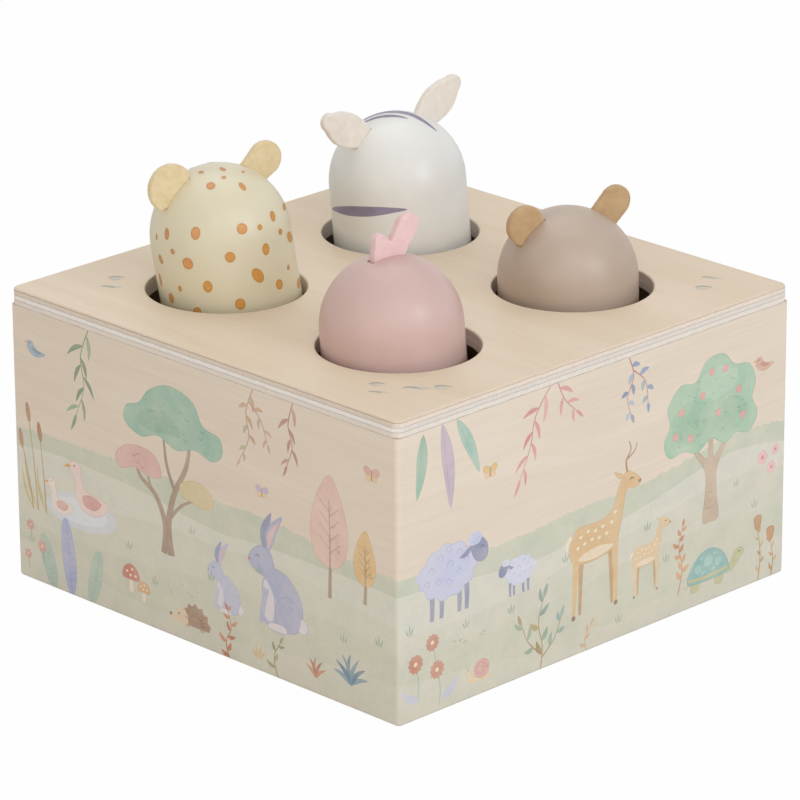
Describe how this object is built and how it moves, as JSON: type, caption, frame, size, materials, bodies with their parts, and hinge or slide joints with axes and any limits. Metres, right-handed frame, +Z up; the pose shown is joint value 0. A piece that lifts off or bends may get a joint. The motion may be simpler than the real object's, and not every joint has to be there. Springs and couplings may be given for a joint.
{
  "type": "pop up animal toy",
  "caption": "Square wooden box whose lid has round holes, in which turned animal pegs with felt ears stand on coil springs and pop back up when pressed.",
  "frame": {"origin": "middle of the underside, in the plane that the box rests on", "axes": "+Z up through the lid, -Y out of the front wall, +X out of the right wall"},
  "size_m": [0.16, 0.16, 0.134],
  "materials": {
    "birch_plywood": "sanded, clear satin lacquer",
    "printed_plywood": "direct print under clear satin lacquer",
    "pine_block": "sawn, bare",
    "zinc_plated_steel": "zinc plated",
    "spring_steel": "drawn wire, bright",
    "leopard_lacquer": "satin water-based lacquer",
    "zebra_lacquer": "satin water-based lacquer",
    "flamingo_lacquer": "satin water-based lacquer",
    "hippo_lacquer": "satin water-based lacquer",
    "leopard_felt": "pressed wool felt",
    "zebra_felt": "pressed wool felt",
    "flamingo_felt": "pressed wool felt",
    "hippo_felt": "pressed wool felt"
  },
  "bodies": {
    "box": {"top_panel": "birch_plywood", "front_panel": "printed_plywood", "right_panel": "printed_plywood", "back_panel": "printed_plywood", "left_panel": "printed_plywood", "base_panel": "birch_plywood", "back_right_block": "pine_block", "back_left_block": "pine_block", "front_left_block": "pine_block", "front_right_block": "pine_block", "base_screws": "zinc_plated_steel", "spring_seat_washers": "zinc_plated_steel", "spring_seat_screws": "zinc_plated_steel"},
    "leopard_spring": {"leopard_spring": "spring_steel"},
    "leopard": {"leopard_peg": "leopard_lacquer", "leopard_left_ear": "leopard_felt", "leopard_right_ear": "leopard_felt", "leopard_washer": "zinc_plated_steel", "leopard_screw": "zinc_plated_steel"},
    "zebra_spring": {"zebra_spring": "spring_steel"},
    "zebra": {"zebra_peg": "zebra_lacquer", "zebra_left_ear": "zebra_felt", "zebra_right_ear": "zebra_felt", "zebra_washer": "zinc_plated_steel", "zebra_screw": "zinc_plated_steel"},
    "flamingo_spring": {"flamingo_spring": "spring_steel"},
    "flamingo": {"flamingo_peg": "flamingo_lacquer", "flamingo_crest": "flamingo_felt", "flamingo_washer": "zinc_plated_steel", "flamingo_screw": "zinc_plated_steel"},
    "hippo_spring": {"hippo_spring": "spring_steel"},
    "hippo": {"hippo_peg": "hippo_lacquer", "hippo_left_ear": "hippo_felt", "hippo_right_ear": "hippo_felt", "hippo_washer": "zinc_plated_steel", "hippo_screw": "zinc_plated_steel"}
  },
  "joints": [
    {"name": "leopard_rock", "type": "hinge", "parent": "box", "child": "leopard_spring", "pos_m": [-0.03458, 0.03458, 0.0875], "axis": [-0.7071, -0.7071, 0], "range_deg": [-18.2, 1.8], "stiffness_Nm_per_rad": 0.3},
    {"name": "leopard_press", "type": "slide", "parent": "leopard_spring", "child": "leopard", "axis": [-0.1009, 0.1009, 0.9898], "range_m": [-0.026, 0.004], "stiffness_N_per_m": 320, "springref_m": 0.00172, "deforming": ["leopard_spring"]},
    {"name": "zebra_rock", "type": "hinge", "parent": "box", "child": "zebra_spring", "pos_m": [0.03592, 0.03508, 0.0875], "axis": [-0.7071, -0.7071, 0], "range_deg": [-14.1, 5.9], "stiffness_Nm_per_rad": 0.3},
    {"name": "zebra_press", "type": "slide", "parent": "zebra_spring", "child": "zebra", "axis": [-0.0506, 0.0506, 0.9974], "range_m": [-0.029, 0.004], "stiffness_N_per_m": 320, "springref_m": 0.00172, "deforming": ["zebra_spring"]},
    {"name": "flamingo_rock", "type": "hinge", "parent": "box", "child": "flamingo_spring", "pos_m": [-0.03642, -0.03458, 0.0875], "axis": [-0.7071, -0.7071, 0], "range_deg": [-13.7, 6.3], "stiffness_Nm_per_rad": 0.3},
    {"name": "flamingo_press", "type": "slide", "parent": "flamingo_spring", "child": "flamingo", "axis": [-0.0456, 0.0456, 0.9979], "range_m": [-0.018, 0.004], "stiffness_N_per_m": 320, "springref_m": 0.00148, "deforming": ["flamingo_spring"]},
    {"name": "hippo_rock", "type": "hinge", "parent": "box", "child": "hippo_spring", "pos_m": [0.03465, -0.03465, 0.0875], "axis": [-0.7071, -0.7071, 0], "range_deg": [-11.4, 8.6], "stiffness_Nm_per_rad": 0.3},
    {"name": "hippo_press", "type": "slide", "parent": "hippo_spring", "child": "hippo", "axis": [-0.0173, 0.0173, 0.9997], "range_m": [-0.015, 0.004], "stiffness_N_per_m": 320, "springref_m": 0.00141, "deforming": ["hippo_spring"]}
  ]
}
